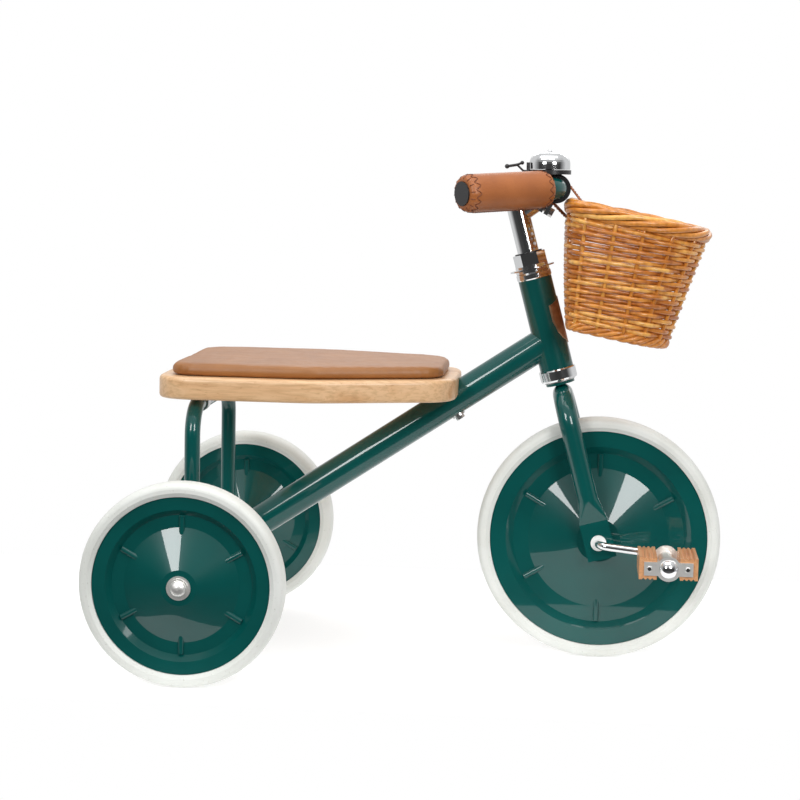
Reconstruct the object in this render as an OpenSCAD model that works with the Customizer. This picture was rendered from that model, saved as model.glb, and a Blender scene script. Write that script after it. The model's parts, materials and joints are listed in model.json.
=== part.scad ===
// Children's tricycle with a steel frame, wooden seat, pedalled front wheel and wicker basket.
// +X points forwards, +Y to the rider's left, +Z up; the origin is on the ground under the middle.

/* [Wheels] */
// Distance from the rear axle to the front axle
wheelbase = 461; // [430:1:500]
// Outside diameter of the front tyre
front_tyre_d = 290; // [270:1:300]
// Outside diameter of each rear tyre
rear_tyre_d = 231; // [220:1:240]
// Distance between the middles of the rear tyres
track = 455; // [430:1:480]
// Width of every tyre
tyre_w = 34; // [30:1:36]
// Height of tyre that shows outside the steel disc
tyre_band = 16; // [14:1:18]

/* [Frame] */
// Backward lean of the steering axis in degrees
head_tilt = 15.3; // [12:0.1:18]
// Upward slope of the main tube in degrees
main_slope = 33.8; // [32:0.1:35]
// Outside diameter of the main tube
main_tube_d = 36.6; // [34:0.2:38]
// Outside diameter of the head tube
head_tube_d = 40; // [38:0.5:42]
// Lower end of the head tube, measured up the steering axis from the front axle
head_low = 209; // [205:1:212]
// Length of the head tube
head_tube_l = 110; // [105:1:120]
// Outside diameter of the rear axle tube
axle_tube_d = 28; // [26:1:32]
// Outside diameter of the bent hoop under the seat
hoop_d = 18; // [16:1:20]
// Distance between the upright legs of the hoop
hoop_w = 252; // [240:2:260]

/* [Seat] */
// Length of the wooden board
board_l = 343; // [330:1:350]
// Greatest width of the wooden board
board_w = 282; // [260:2:290]
// Width of the board at its front corners
board_front_w = 200; // [180:2:220]
// Thickness of the wooden board
board_t = 26; // [20:1:28]
// Height of the underside of the board above the ground
board_z = 311; // [309:0.5:313]
// Thickness of the cushion at its edge
cushion_t = 14; // [10:1:20]
// Border of bare wood around the cushion
cushion_inset = 13; // [10:1:20]

/* [Steering] */
// Outside diameter of the handlebar tube
bar_d = 25.4; // [22.2:0.1:25.4]
// Forward offset of the handlebar from the steering axis
bar_reach = 50; // [46:1:54]
// Height of the handlebar up the steering axis from the front axle
bar_rise = 416; // [415:1:420]
// Backward sweep of each grip in degrees
grip_sweep = 52; // [45:1:60]
// Length of each leather grip
grip_l = 118; // [105:1:120]
// Diameter of each leather grip
grip_d = 43; // [38:1:44]

/* [Pedals] */
// Distance from the front axle to the pedal spindle
crank_l = 78; // [72:1:82]
// Angle of the right crank arm below level at rest
crank_drop = 6; // [0:1:20]
// Diameter of the bent crank rod
crank_d = 9.5; // [9:0.1:10]

/* [Basket] */
// Height of the basket at its back
basket_h = 148; // [140:1:150]
// Width of the basket's floor
basket_floor_w = 160; // [140:2:170]
// Length of the basket's floor
basket_floor_l = 120; // [110:1:130]
// Outward lean of every wall from floor to rim
basket_flare = 25; // [22:1:26]
// Nose-down angle of the hanging basket in degrees
basket_tilt = 11; // [8:0.5:12]

/* [Hidden] */
$fn = 64;

// Colours
PAINT = [0.02, 0.30, 0.26];
RUBBER = [0.93, 0.93, 0.90];
CHROME = [0.78, 0.78, 0.76];
WOOD = [0.87, 0.70, 0.48];
LEATHER = [0.66, 0.40, 0.22];
WICKER = [0.80, 0.52, 0.22];
NYLON = [0.95, 0.95, 0.93];
BLACK = [0.06, 0.06, 0.06];
COPPER = [0.68, 0.50, 0.34];

// Clearances: parts that only touch, and shafts that run in a bore
gap = 0.3;
run_gap = 0.05;
cut = 1;

// Places of the axles; the tyres' outermost points are level with x = 0 on average
front_r = front_tyre_d / 2;
rear_r = rear_tyre_d / 2;
rear_x = -(wheelbase + front_r - rear_r) / 2;
front_x = rear_x + wheelbase;

// Wheel section, measured from the wheel's middle plane
disc_t = 1.1;
ring_face = 12.2;
well_face = 4.8;
hub_face = 23;
hub_hole_r = 11;
ring_share = 0.855;
well_share = 0.79;
cone_share = 0.65;
boss_share = 0.2;

// Rear axle stack, measured outwards from the middle of the tricycle
axle_r = 6;
axle_tube_half = 203;
hub_in = 205.2;
hub_out = 250.3;
washer_t = 1.5;
washer_r = 13.5;

// Tubes
tube_wall = 1.6;
main_r = main_tube_d / 2;
head_r = head_tube_d / 2;
hoop_r = hoop_d / 2;
hoop_bend = 35;
hoop_x = rear_x - 9;
hoop_top_z = board_z - hoop_r;

// Headset heights up the steering axis
head_top = head_low + head_tube_l;
cup_bore_r = 17;
steerer_r = 14.3;
steerer_in_r = 12.75;
crown_top = head_low - 15.5;
cup_low = head_low - 14;
race_top = head_top + 9;
lock_top = head_top + 31;

// Fork
leg_r = 12;
leg_y = 38;
leg_top = 140;
paddle_t = 8;
paddle_w = 34;

// Handlebar
bar_r = bar_d / 2;
bar_half = 60;
bar_bend = 26;
bar_drop = 4;
bar_x = front_x - bar_rise * sin(head_tilt) + bar_reach * cos(head_tilt);
bar_z = front_r + bar_rise * cos(head_tilt) + bar_reach * sin(head_tilt);
quill_r = 12.7;
clamp_r = 15.6;

// Bell
bell_x = bar_x - 8;
bell_y = -55;
bell_r = 23.6;
bell_base_z = bar_z + 16.4;

// Basket; its back lower edge hangs just in front of the head tube
basket_x = front_x - 45.5;
basket_z = 398;
basket_wall = 6;
rim_r = 9.5;
rim_out = 3;
rim_round = 4;
top_shift = -6;
strap_y = 38;
strap_w = 14;
strap_t = 2.4;

// ---------- Helpers ----------

// Places children on the steering axis: local z runs up it from the front axle
module on_steering_axis() {
  translate([front_x, 0, front_r]) rotate([0, -head_tilt, 0]) children();
}

// Places children so that local z runs up the main tube from the rear axle
module on_main_tube() {
  translate([rear_x, 0, rear_r]) rotate([0, 90 - main_slope, 0]) children();
}

// Turns a shape that lies round local z so that it lies round the wheel axis, outwards to `side`
module across(side = 1) {
  rotate([side > 0 ? -90 : 90, 0, 0]) children();
}

module tube(r, wall, length) {
  difference() {
    cylinder(r = r, h = length);
    translate([0, 0, -cut]) cylinder(r = r - wall, h = length + 2 * cut);
  }
}

module ring(r_out, r_in, length) {
  tube(r_out, r_out - r_in, length);
}

// Bend of a rod or tube in the local y-z plane: it leaves the origin along +z and turns to +y
module bend(radius, angle, r_out, r_in = 0) {
  translate([0, radius, 0]) rotate([0, -90, 0]) rotate([0, 0, -90])
    rotate_extrude(angle = angle) translate([radius, 0]) difference() {
      circle(r = r_out);
      if (r_in > 0) circle(r = r_in);
    }
}

// Moves children to the end of a bend
module after_bend(radius, angle) {
  translate([0, radius * (1 - cos(angle)), radius * sin(angle)]) rotate([-angle, 0, 0]) children();
}

// ---------- Wheels ----------

// Solid rubber tyre: rounded tread, straight sides and a foot gripped between the discs
module tyre(radius) {
  disc_r = radius - tyre_band;
  half = tyre_w / 2;
  crown = 11;
  side_step = 14.2;
  foot_half = ring_face - disc_t - 0.1;
  foot_r = disc_r * (ring_share + 0.02);
  tread = [for (a = [-90 : 10 : 90])
    [radius - crown + crown * pow(cos(a), 0.55), half * sign(sin(a)) * pow(abs(sin(a)), 0.8)]];
  profile = concat(tread,
    [[disc_r + gap, side_step], [disc_r + gap, foot_half], [foot_r, foot_half],
     [foot_r, -foot_half], [disc_r + gap, -foot_half], [disc_r + gap, -side_step]]);
  color(RUBBER) across() rotate_extrude($fn = 128) polygon(profile);
}

// Outer face of a pressed disc from rim to hub, as radius and height pairs
function disc_face(r) = [
  [r, ring_face], [r * ring_share, ring_face], [r * well_share, well_face],
  [r * cone_share, well_face], [r * boss_share, hub_face], [hub_hole_r, hub_face]];

// One pressed steel disc with six short radial ribs
module disc(radius, side) {
  r = radius - tyre_band;
  face = disc_face(r);
  back = [for (i = [len(face) - 1 : -1 : 0]) face[i] - [0, disc_t]];
  rib_r = 3.3;
  rib_in = r * (cone_share - 0.075);
  rib_out = r * (well_share - 0.01);
  color(PAINT) across(side) {
    rotate_extrude($fn = 128) polygon(concat(face, back));
    for (a = [30 : 60 : 330])
      rotate([0, 0, a]) translate([rib_in, 0, well_face]) difference() {
        rotate([0, 90, 0]) cylinder(r = rib_r, h = rib_out - rib_in);
        translate([-cut, -rib_r - cut, -2 * rib_r]) cube([r, 2 * rib_r + 2 * cut, 2 * rib_r - 0.3]);
      }
  }
}

module at_rear_wheel(side) {
  translate([rear_x, side * track / 2, rear_r]) children();
}

module at_front_wheel() {
  translate([front_x, 0, front_r]) children();
}

module rear_tyre(side) {
  at_rear_wheel(side) tyre(rear_r);
}

module rear_discs(side) {
  at_rear_wheel(side) {
    disc(rear_r, 1);
    disc(rear_r, -1);
  }
}

// Nylon sleeve that carries both discs and runs on the axle
module rear_hub(side) {
  color(NYLON) translate([rear_x, side * hub_in, rear_r]) across(side)
    ring(hub_hole_r - 0.05, axle_r + run_gap, hub_out - hub_in);
}

module front_tyre() {
  at_front_wheel() tyre(front_r);
}

module front_disc(side) {
  at_front_wheel() disc(front_r, side);
}

// Steel sleeve pressed on the crank rod
module front_hub() {
  half = 33.4;
  color(CHROME) translate([front_x, -half, front_r]) across()
    ring(hub_hole_r - 0.05, crank_d / 2 + 0.02, 2 * half);
}

// ---------- Rear axle ----------

module rear_axle_tube() {
  color(PAINT) translate([rear_x, -axle_tube_half, rear_r]) across()
    tube(axle_tube_d / 2, tube_wall, 2 * axle_tube_half);
}

// Solid rod with collars that centre it in the axle tube
module rear_axle() {
  end = hub_out + 5;
  collar_l = 12;
  color(CHROME) {
    translate([rear_x, -end, rear_r]) across() cylinder(r = axle_r, h = 2 * end);
    for (side = [-1, 1])
      translate([rear_x, side * (axle_tube_half - collar_l), rear_r]) across(side)
        cylinder(r = axle_tube_d / 2 - tube_wall - 0.05, h = collar_l);
  }
}

module rear_washers() {
  color(CHROME) for (side = [-1, 1]) {
    translate([rear_x, side * axle_tube_half, rear_r]) across(side)
      ring(washer_r, axle_r + 0.1, washer_t);
    translate([rear_x, side * (hub_out + 0.2), rear_r]) across(side)
      ring(washer_r, axle_r + 0.1, washer_t);
  }
}

// Domed cap nut: a flange and a flattened round cap
module rear_dome_nuts() {
  flange_r = 10.8;
  cap = [for (a = [0 : 15 : 90]) [9.2 * cos(a), 1.6 + 5.4 * sin(a)]];
  start = hub_out + 0.2 + washer_t;
  color(CHROME) for (side = [-1, 1])
    translate([rear_x, side * start, rear_r]) across(side) difference() {
      rotate_extrude() polygon(concat([[0, 0], [flange_r, 0], [flange_r, 1.6]], cap));
      translate([0, 0, -cut]) cylinder(r = axle_r + 0.05, h = 4 + cut);
    }
}

// ---------- Frame tubes ----------

// Length along the main tube from the rear axle to the steering axis
main_l = (wheelbase * cos(head_tilt) + (front_r - rear_r) * sin(head_tilt))
  / cos(main_slope - head_tilt);

// Place of the seat bolt along the main tube
seat_bolt_at = 337;
bolt_r = 3;

module main_tube() {
  color(PAINT) difference() {
    on_main_tube() tube(main_r, tube_wall, main_l);
    translate([rear_x, -main_tube_d, rear_r]) across()
      cylinder(r = axle_tube_d / 2 + 0.02, h = 2 * main_tube_d);
    on_steering_axis() translate([0, 0, head_low - 20])
      cylinder(r = head_r + 0.02, h = head_tube_l + 40);
    on_main_tube() translate([0, 0, seat_bolt_at]) rotate([0, -90, 0])
      translate([0, 0, -main_tube_d]) cylinder(r = bolt_r + 0.2, h = 2 * main_tube_d);
  }
}

module head_tube() {
  color(PAINT) on_steering_axis() translate([0, 0, head_low])
    ring(head_r, cup_bore_r, head_tube_l);
}

// Generic blank shield on the front of the head tube
module head_badge() {
  badge_low = 236;
  badge_t = 1;
  half = 18;
  outline = [[0, 0], [12, 7.4], [16, 16], [half, 29], [half, 48.5], [0, 57]];
  mirrored = [for (i = [len(outline) - 2 : -1 : 1]) [-outline[i][0], outline[i][1]]];
  color(COPPER) on_steering_axis() intersection() {
    translate([0, 0, badge_low]) ring(head_r + badge_t, head_r + 0.02, 57);
    translate([0, 0, badge_low]) rotate([90, 0, 90])
      linear_extrude(height = 2 * head_r) polygon(concat(outline, mirrored));
  }
}

// Bent hoop welded to the axle tube; the seat rests on its level top
module seat_hoop() {
  leg_h = hoop_top_z - hoop_bend - rear_r;
  top_l = hoop_w - 2 * hoop_bend;
  color(PAINT) difference() {
    union() {
      for (side = [-1, 1])
        translate([hoop_x, side * hoop_w / 2, rear_r]) {
          tube(hoop_r, tube_wall, leg_h);
          translate([0, 0, leg_h]) rotate([0, 0, side > 0 ? 180 : 0])
            bend(hoop_bend, 90, hoop_r, hoop_r - tube_wall);
        }
      translate([hoop_x, -top_l / 2, hoop_top_z]) across() tube(hoop_r, tube_wall, top_l);
    }
    translate([rear_x, -hoop_w, rear_r]) across()
      cylinder(r = axle_tube_d / 2 + 0.02, h = 2 * hoop_w);
  }
}

// ---------- Seat ----------

board_rear = rear_x - 53;
board_front = board_rear + board_l;

// Rounded outline in plan; `inset` shrinks it evenly and `t` is its height
module seat_slab(inset, t) {
  rear_corner = 38;
  side_round = 90;
  front_corner = 46;
  side_x = board_rear + 168;
  hull() for (side = [-1, 1]) {
    translate([board_rear + rear_corner, side * (board_w / 2 - rear_corner - 2), 0])
      cylinder(r = rear_corner - inset, h = t, $fn = 48);
    translate([side_x, side * (board_w / 2 - side_round), 0])
      cylinder(r = side_round - inset, h = t, $fn = 96);
    translate([board_front - front_corner, side * (board_front_w / 2 - front_corner), 0])
      cylinder(r = front_corner - inset, h = t, $fn = 48);
  }
}

// Beech board, grooved underneath where it sits on the main tube
module seat_board() {
  edge = 4;
  color(WOOD) difference() {
    translate([0, 0, board_z]) union() {
      translate([0, 0, edge]) seat_slab(0, board_t - 2 * edge);
      seat_slab(edge * 0.6, board_t);
    }
    on_main_tube() cylinder(r = main_r + 0.15, h = main_l);
    on_main_tube() translate([0, 0, seat_bolt_at]) rotate([0, -90, 0])
      cylinder(r = bolt_r + 0.1, h = 36.2);
    at_clip_screws() cylinder(r = 2.1, h = 17);
  }
}

module seat_cushion() {
  shoulder = 3;
  color(LEATHER) translate([0, 0, board_z + board_t]) {
    seat_slab(cushion_inset, cushion_t - shoulder);
    seat_slab(cushion_inset + shoulder, cushion_t + 2);
  }
}

module seat_bolt() {
  head_h = 4;
  start = main_r + 1.6;
  color(CHROME) on_main_tube() translate([0, 0, seat_bolt_at]) rotate([0, -90, 0]) {
    translate([0, 0, -start]) cylinder(r = bolt_r, h = start + 36);
    translate([0, 0, -start - head_h]) cylinder(r = 5.5, h = head_h, $fn = 6);
  }
}

// Washer shaped to the round tube on one side and flat on the other
module seat_bolt_washer() {
  color(CHROME) difference() {
    on_main_tube() translate([0, 0, seat_bolt_at]) rotate([0, -90, 0])
      translate([0, 0, -main_r - 1.55]) ring(8, bolt_r + 0.2, 4);
    on_main_tube() cylinder(r = main_r + 0.02, h = main_l);
  }
}

clip_y = 74;
clip_screw_dx = 16;

module at_clip_screws() {
  for (side = [-1, 1], end = [-1, 1])
    translate([hoop_x + end * clip_screw_dx, side * clip_y, board_z - 1.5]) children();
}

// Saddle clips that hold the hoop up against the board
module seat_clips() {
  clip_w = 16;
  ear = 22;
  wall = 1.5;
  color(CHROME) for (side = [-1, 1]) difference() {
    translate([hoop_x, side * clip_y - clip_w / 2, hoop_top_z]) {
      difference() {
        union() {
          across() cylinder(r = hoop_r + wall, h = clip_w);
          translate([-hoop_r - wall, 0, 0]) cube([2 * (hoop_r + wall), clip_w, hoop_r]);
          translate([-ear, 0, hoop_r - wall]) cube([2 * ear, clip_w, wall]);
        }
        translate([0, -cut, 0]) across() cylinder(r = hoop_r + 0.02, h = clip_w + 2 * cut);
        translate([-hoop_r - 0.02, -cut, 0])
          cube([2 * hoop_r + 0.04, clip_w + 2 * cut, hoop_r + cut]);
        translate([-ear, -cut, hoop_r]) cube([2 * ear, clip_w + 2 * cut, hoop_r]);
      }
    }
    at_clip_screws() translate([0, 0, -cut]) cylinder(r = 2.2, h = 3 * cut + wall);
  }
}

module seat_clip_screws() {
  color(CHROME) at_clip_screws() {
    cylinder(r = 2, h = 16);
    translate([0, 0, -2.2]) cylinder(r = 3.6, h = 2.2);
  }
}

// ---------- Headset ----------

// Pressed cup: a wide body outside the head tube and a spigot inside it
module cup(body_r, body_h, cavity_r, cavity_h, spigot_h) {
  bore_r = 15.4;
  rotate_extrude() polygon([
    [bore_r, body_h - cavity_h], [bore_r, -spigot_h], [cup_bore_r - 0.02, -spigot_h],
    [cup_bore_r - 0.02, 0], [body_r - 1, 0], [body_r, 1.5], [body_r, body_h - 2],
    [body_r - 1, body_h], [cavity_r, body_h], [cavity_r, body_h - cavity_h]]);
}

module headset_lower_cup() {
  color(CHROME) on_steering_axis() translate([0, 0, head_low]) rotate([180, 0, 0])
    cup(22, 14, 19.6, 9, 10);
}

module headset_upper_cup() {
  color(CHROME) on_steering_axis() translate([0, 0, head_top]) cup(20.8, 8.6, 19.5, 6, 10);
}

module crown_race() {
  color(CHROME) on_steering_axis() translate([0, 0, crown_top]) ring(18.4, steerer_r + 0.02, 3.2);
}

// Loose balls in a ring
module ball_ring(h, ring_r, ball_r, count) {
  color(CHROME) on_steering_axis() translate([0, 0, h])
    for (i = [0 : count - 1])
      rotate([0, 0, i * 360 / count]) translate([ring_r, 0, 0]) sphere(r = ball_r, $fn = 24);
}

module lower_bearing() {
  ball_ring(crown_top + 5.75, 16.95, 2.5, 16);
}

module upper_bearing() {
  ball_ring(head_top + 5.15, 16.9, 2.45, 16);
}

module adjusting_race() {
  color(CHROME) on_steering_axis() translate([0, 0, head_top + 7.7]) {
    ring(18.3, steerer_r + 0.02, 1.5);
    translate([0, 0, 1.2]) ring(20, steerer_r + 0.02, 3.1);
  }
}

// Thin keyed washer, wider than the nuts
module lock_washer() {
  color(CHROME) on_steering_axis() translate([0, 0, race_top + 3]) difference() {
    cylinder(r = 26.4, h = 1.6);
    translate([0, 0, -cut]) cylinder(r = steerer_r + 0.02, h = 4);
  }
}

module locknut() {
  collar_h = 3.2;
  color(CHROME) on_steering_axis() translate([0, 0, race_top + 4.6]) difference() {
    union() {
      cylinder(r = 19.6, h = collar_h);
      translate([0, 0, collar_h]) cylinder(r = 19.2, h = lock_top - race_top - 4.6 - collar_h, $fn = 6);
    }
    translate([0, 0, -cut]) cylinder(r = steerer_r + 0.02, h = 30);
  }
}

module locknut_seal() {
  color(BLACK) on_steering_axis() translate([0, 0, lock_top]) ring(16.2, quill_r + 0.1, 1.5);
}

// ---------- Fork ----------

// Steerer tube with the collar that seats the crown race; it stands on the tops of the legs
module fork_steerer() {
  foot = leg_top + leg_y + leg_r + 0.05;
  color(PAINT) on_steering_axis() {
    translate([0, 0, foot]) ring(steerer_r, steerer_in_r, lock_top - foot - 0.5);
    translate([0, 0, foot]) ring(17.2, steerer_r - 0.5, crown_top - foot);
  }
}

// One leg: a quarter bend out from under the steerer, a straight run and a flattened end
module fork_leg(side) {
  taper_top = 52;
  paddle_top = 26;
  paddle_low = -20;
  bore_r = 7.2;
  color(PAINT) on_steering_axis() scale([1, side, 1]) difference() {
    union() {
      translate([0, leg_y, leg_top]) rotate([0, 0, 180]) bend(leg_y, 90, leg_r);
      translate([0, leg_y, taper_top]) cylinder(r = leg_r, h = leg_top - taper_top);
      hull() {
        translate([0, leg_y, taper_top]) cylinder(r = leg_r, h = 1, $fn = 32);
        translate([-paddle_w / 2, leg_y - paddle_t / 2, paddle_top - 1])
          cube([paddle_w, paddle_t, 1]);
      }
      translate([-paddle_w / 2, leg_y - paddle_t / 2, paddle_low])
        cube([paddle_w, paddle_t, paddle_top - paddle_low]);
    }
    translate([0, leg_y - paddle_t, 0]) across() cylinder(r = bore_r, h = 2 * paddle_t);
  }
}

// White flanged bush in the flattened end of a leg
module fork_bush(side) {
  color(NYLON) at_front_wheel() {
    translate([0, side * (leg_y - paddle_t / 2 - 0.4), 0]) across(side)
      ring(7.15, crank_d / 2 + run_gap, paddle_t + 1);
    translate([0, side * (leg_y + paddle_t / 2 + 0.02), 0]) across(side)
      ring(9.2, crank_d / 2 + run_gap, 2.6);
  }
}

// ---------- Stem and handlebar ----------

// Direction from the bar to the clamp's ears, and the clamp's place
ear_angle = 242;
ear_out = 28;

module at_bar() {
  translate([bar_x, 0, bar_z]) children();
}

// Turns local x to the direction of the clamp's ears
module to_ears() {
  at_bar() rotate([0, -ear_angle, 0]) children();
}

module quill_stem() {
  clamp_half = 19;
  neck_from = 396;
  neck_dx = bar_reach;
  neck_dz = bar_rise - neck_from;
  color(CHROME) difference() {
    union() {
      on_steering_axis() {
        translate([0, 0, 246]) cylinder(r = quill_r, h = 158);
        translate([0, 0, 404]) cylinder(r1 = quill_r, r2 = quill_r - 3, h = 4);
        translate([0, 0, neck_from]) rotate([0, atan2(neck_dx, neck_dz), 0])
          cylinder(r = 10.5, h = norm([neck_dx, neck_dz]));
      }
      translate([0, -clamp_half, 0]) at_bar() across() cylinder(r = clamp_r, h = 2 * clamp_half);
      to_ears() translate([0, -8, -6]) cube([ear_out + 5, 16, 12]);
    }
    translate([0, -clamp_half - cut, 0]) at_bar() across()
      cylinder(r = bar_r + 0.02, h = 2 * (clamp_half + cut));
    to_ears() translate([0, -clamp_half - cut, -1])
      cube([ear_out + 10, 2 * (clamp_half + cut), 2]);
    to_ears() translate([ear_out, 0, -20]) cylinder(r = 3.1, h = 40);
    to_ears() translate([ear_out, 0, 6.02]) cylinder(r = 5.7, h = 14);
    to_ears() translate([ear_out, 0, -20]) cylinder(r = 5.7, h = 13.98);
    on_steering_axis() {
      translate([0, 0, 240]) cylinder(r = 9, h = 152);
      translate([0, 0, 380]) cylinder(r = 4.2, h = 40);
      translate([0, 0, 408.05]) cylinder(r = 6.8, h = 12);
    }
  }
}

module clamp_bolt() {
  color(CHROME) to_ears() translate([ear_out, 0, 0]) {
    translate([0, 0, -15]) cylinder(r = 3, h = 22);
    translate([0, 0, 6.05]) cylinder(r = 5.4, h = 5, $fn = 6);
    translate([0, 0, -11]) cylinder(r = 5.4, h = 4.95, $fn = 6);
  }
}

// Slanted wedge that locks the quill in the steerer
module expander_wedge() {
  color(CHROME) on_steering_axis() translate([0, 0, 222]) difference() {
    cylinder(r = quill_r - 0.2, h = 23.5);
    translate([0, 0, -cut]) cylinder(r = 4.05, h = 30);
  }
}

module expander_bolt() {
  color(CHROME) on_steering_axis() {
    translate([0, 0, 219]) cylinder(r = 4, h = 192);
    translate([0, 0, 408.1]) cylinder(r = 6.5, h = 6);
  }
}

// Local frame at the start of one grip: local z runs along the bar towards its end
module on_grip_axis(side) {
  at_bar() rotate([0, -bar_drop, 0]) scale([1, side, 1]) translate([0, bar_half, 0])
    rotate([-90, 0, 0]) rotate([0, 0, 90]) after_bend(bar_bend, grip_sweep) children();
}

module handlebar() {
  wall = 2;
  color(PAINT) {
    at_bar() rotate([0, -bar_drop, 0]) {
      translate([0, -bar_half, 0]) across() tube(bar_r, wall, 2 * bar_half);
      for (side = [-1, 1]) scale([1, side, 1]) translate([0, bar_half, 0])
        rotate([-90, 0, 0]) rotate([0, 0, 90]) bend(bar_bend, grip_sweep, bar_r, bar_r - wall);
    }
    for (side = [-1, 1]) on_grip_axis(side) tube(bar_r, wall, grip_l);
  }
}

// Leather sleeve over padding, with drawn-in ends
module grip(side) {
  r = grip_d / 2;
  color(LEATHER) on_grip_axis(side) rotate_extrude() polygon([
    [bar_r + 0.02, 0.2], [r - 6, 0.2], [r - 2, 2.5], [r - 0.6, 8], [r, grip_l / 2],
    [r + 0.3, grip_l - 10], [r - 1, grip_l - 3], [r - 5, grip_l - 0.2],
    [bar_r + 0.02, grip_l - 0.2]]);
}

module bar_end_caps() {
  color(BLACK) for (side = [-1, 1]) on_grip_axis(side) {
    translate([0, 0, grip_l + 0.02]) cylinder(r = 13.6, h = 1.6);
    translate([0, 0, grip_l - 10]) cylinder(r = bar_r - 2.05, h = 10.1);
  }
}

// ---------- Bell ----------

module bell_bracket() {
  half = 4.5;
  base_r = 24.8;
  ring_r = 17;
  stop_at = 200;
  color(BLACK) difference() {
    union() {
      translate([0, bell_y - half, 0]) at_bar() across() cylinder(r = ring_r, h = 2 * half);
      translate([bar_x - 11, bell_y - half, bar_z + 6])
        cube([17, 2 * half, bell_base_z - bar_z - 5]);
      translate([bell_x, bell_y, bell_base_z]) cylinder(r = base_r, h = 5);
      translate([bell_x, bell_y, bell_base_z]) cylinder(r = 5, h = 21);
      translate([bell_x, bell_y, bell_base_z]) rotate([0, 0, stop_at])
        translate([bell_r + 2.5, 0, 1]) cylinder(r = 2, h = 12);
    }
    translate([0, bell_y - half - cut, 0]) at_bar() across()
      cylinder(r = bar_r + 0.02, h = 2 * (half + cut));
    translate([bell_x, bell_y, bell_base_z + 10]) cylinder(r = 2.05, h = 20);
    translate([bell_x - base_r - cut, bell_y - 3.5, bell_base_z - cut]) cube([8, 7, 9]);
    on_grip_axis(-1) cylinder(r = grip_d / 2 + 1, h = grip_l);
    translate([lever_x, bell_y - 6.5, lever_z]) across() cylinder(r = 1.06, h = 13);
  }
}

// Turned dome with a rolled shoulder
module bell_dome() {
  wall = 1.2;
  outer = [for (a = [0 : 10 : 90]) [bell_r * pow(cos(a), 0.62), 6 + 14 * sin(a)]];
  inner = [for (a = [80 : -10 : 0])
    [(bell_r - wall) * pow(cos(a), 0.62), 6 + (14 - wall) * sin(a)]];
  color(CHROME) translate([bell_x, bell_y, bell_base_z + 5.6]) difference() {
    rotate_extrude() polygon(concat([[bell_r, 0]], outer, [[0, 18.5]], inner, [[bell_r - wall, 0]]));
    translate([0, 0, 10]) cylinder(r = 2.2, h = 20);
  }
}

module bell_screw() {
  color(CHROME) translate([bell_x, bell_y, bell_base_z]) {
    translate([0, 0, 12]) cylinder(r = 2, h = 14.3);
    translate([0, 0, 26.25]) cylinder(r1 = 4, r2 = 2.6, h = 1.5);
  }
}

// Sprung thumb lever: a cranked leg from the base, a big ball for the thumb, a small one to strike
lever_x = bell_x - 21.6;
lever_z = bell_base_z + 2.5;

module bell_lever() {
  pivot = [lever_x, bell_y, lever_z];
  knee = [lever_x - 9, bell_y, lever_z + 1];
  elbow = [lever_x - 16, bell_y, lever_z + 7.6];
  thumb = [lever_x - 27.5, bell_y, lever_z + 5.6];
  striker = [lever_x - 10.2, bell_y, lever_z + 10];
  color(BLACK) {
    rod(pivot, knee, 1.2);
    rod(knee, elbow, 1.2);
    rod(thumb, elbow, 1.6);
    rod(elbow, striker, 1.4);
    translate(knee) sphere(r = 1.3);
    translate(elbow) sphere(r = 1.7);
    translate(thumb) sphere(r = 2.7);
    translate(striker) sphere(r = 2.3);
    translate(pivot + [0, -3, 0]) across() cylinder(r = 2, h = 6);
    translate(pivot + [0, -6, 0]) across() cylinder(r = 1, h = 12);
  }
}

// Round rod between two points in a plane of constant y
module rod(from, to, r) {
  d = to - from;
  translate(from) rotate([0, atan2(d[0], d[2]), 0]) cylinder(r = r, h = norm(d));
}

// ---------- Basket ----------

// Places children in the basket's frame: x forwards along the floor, z up, origin at the back
module in_basket() {
  translate([basket_x, 0, basket_z]) rotate([0, basket_tilt, 0]) children();
}

// D-shaped slab, flat at the back and round at the front; `out` grows it evenly
module basket_slab(out, z, t) {
  back_corner = 14;
  half = basket_floor_w / 2;
  front_round = 60;
  hull() for (side = [-1, 1]) {
    translate([back_corner, side * (half - back_corner), z])
      cylinder(r = back_corner + out, h = t, $fn = 32);
    translate([basket_floor_l - front_round, side * (half - front_round), z])
      cylinder(r = front_round + out, h = t, $fn = 48);
  }
}

module basket_body(out, z_low, z_high) {
  hull() {
    basket_slab(out, z_low, 0.5);
    translate([top_shift, 0, 0]) basket_slab(out + basket_flare, z_high - 0.5, 0.5);
  }
}

module basket() {
  slot = 0.5;
  color(WICKER) difference() {
    in_basket() {
      basket_body(0, 0, basket_h - 8);
      translate([top_shift, 0, basket_h - 2 * rim_r]) {
        basket_slab(basket_flare + rim_out, 0, 2 * rim_r - rim_round - 1);
        basket_slab(basket_flare + rim_out - rim_round, 0, 2 * rim_r);
      }
    }
    in_basket() translate([0, 0, basket_wall])
      basket_body(-basket_wall, 0, basket_h - basket_wall + 2);
    for (side = [-1, 1]) translate([0, side * strap_y, 0]) strap_outline(slot, strap_w + 2 * slot);
  }
}

// Middle of the rim's back, where the straps pass round it
rim_back = top_shift - basket_flare - rim_out + rim_r;
rim_x = basket_x + rim_back * cos(basket_tilt) + (basket_h - rim_r) * sin(basket_tilt);
rim_z = basket_z - rim_back * sin(basket_tilt) + (basket_h - rim_r) * cos(basket_tilt);
loop_r = rim_r + 2;

// Loop round the handlebar and the back of the rim, extruded across
module strap_outline(extra, width) {
  translate([0, width / 2, 0]) rotate([90, 0, 0]) linear_extrude(height = width) hull() {
    translate([bar_x, bar_z]) circle(r = bar_r + gap + strap_t + extra, $fn = 48);
    translate([rim_x, rim_z]) circle(r = loop_r + strap_t + extra, $fn = 48);
  }
}

module basket_strap(side) {
  color(LEATHER) translate([0, side * strap_y, 0]) difference() {
    strap_outline(0, strap_w);
    strap_outline(-strap_t, strap_w + 2);
  }
}

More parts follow.
